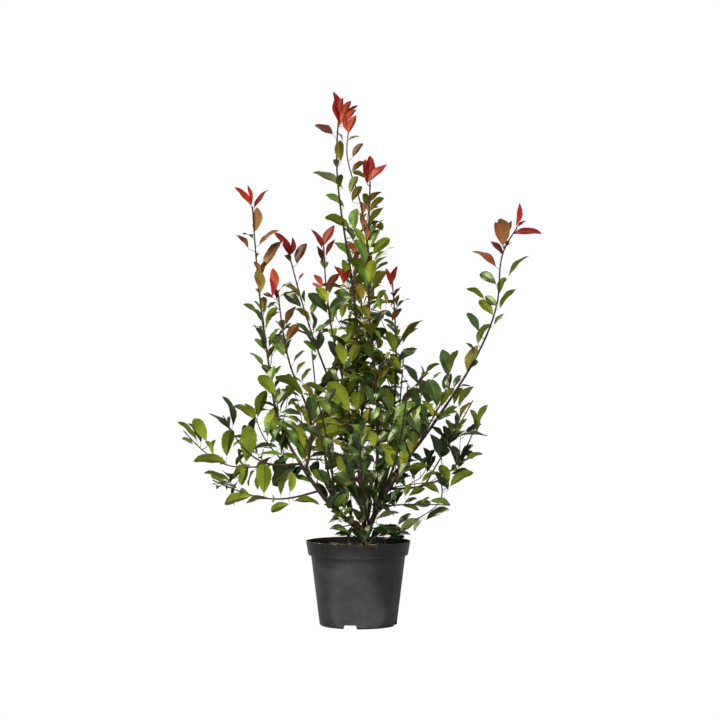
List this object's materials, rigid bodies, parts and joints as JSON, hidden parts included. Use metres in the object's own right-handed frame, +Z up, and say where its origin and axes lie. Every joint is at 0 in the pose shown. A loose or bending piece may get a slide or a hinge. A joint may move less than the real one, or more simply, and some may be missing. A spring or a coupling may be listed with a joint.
{
  "type": "potted photinia shrub",
  "caption": "Young upright photinia, an evergreen shrub with glossy green leaves and red new shoots, standing in its black round nursery pot of compost.",
  "frame": {"origin": "centre of the flat underside of the pot", "axes": "+Z up, +X to the right as the shrub is seen from its front, and the front faces -Y"},
  "size_m": [0.9504, 0.7645, 1.4308],
  "materials": {
    "pot_plastic": "satin",
    "compost": "matte",
    "bark": "matte",
    "green_leaves": "satin",
    "red_leaves": "satin"
  },
  "bodies": {
    "root": {"back_left_bough": "bark", "back_left_bough_foliage": "green_leaves", "back_right_bough": "bark", "back_right_bough_foliage": "green_leaves", "compost": "compost", "far_left_stem": "bark", "far_left_stem_foliage": "green_leaves", "far_left_stem_upper_foliage": "red_leaves", "far_right_stem": "bark", "far_right_stem_foliage": "green_leaves", "foot_left_spray_foliage": "green_leaves", "foot_right_spray_foliage": "green_leaves", "front_centre_side_shoot_foliage": "red_leaves", "front_centre_stem": "bark", "front_centre_stem_foliage": "green_leaves", "front_centre_stem_upper_foliage": "red_leaves", "front_left_bough": "bark", "front_left_bough_foliage": "green_leaves", "front_right_bough": "bark", "front_right_bough_foliage": "green_leaves", "inner_left_spray_foliage": "green_leaves", "inner_right_spray_foliage": "green_leaves", "leader_stem": "bark", "leader_stem_foliage": "green_leaves", "leader_stem_upper_foliage": "red_leaves", "left_back_stem": "bark", "left_back_stem_foliage": "green_leaves", "left_centre_stem": "bark", "left_centre_stem_foliage": "green_leaves", "left_stem": "bark", "low_back_bough": "bark", "low_back_bough_foliage": "green_leaves", "low_front_bough": "bark", "low_front_bough_foliage": "green_leaves", "low_left_bough": "bark", "low_left_bough_foliage": "green_leaves", "low_right_bough": "bark", "low_right_bough_foliage": "green_leaves", "low_right_drooping_spray_foliage": "green_leaves", "low_right_spray_foliage": "green_leaves", "lowest_left_bough": "bark", "lowest_left_bough_foliage": "green_leaves", "lowest_right_spray": "bark", "lowest_right_spray_foliage": "green_leaves", "near_left_stem_foliage": "green_leaves", "near_left_stem_upper_foliage": "red_leaves", "outer_left_spray_foliage": "green_leaves", "pot": "pot_plastic", "right_bough": "bark", "right_bough_foliage": "green_leaves", "right_centre_stem": "bark", "right_centre_stem_foliage": "green_leaves", "right_stem": "bark", "tall_back_stem": "bark", "tall_back_stem_foliage": "green_leaves", "tall_back_stem_upper_foliage": "red_leaves", "trunk": "bark"}
  },
  "joints": []
}
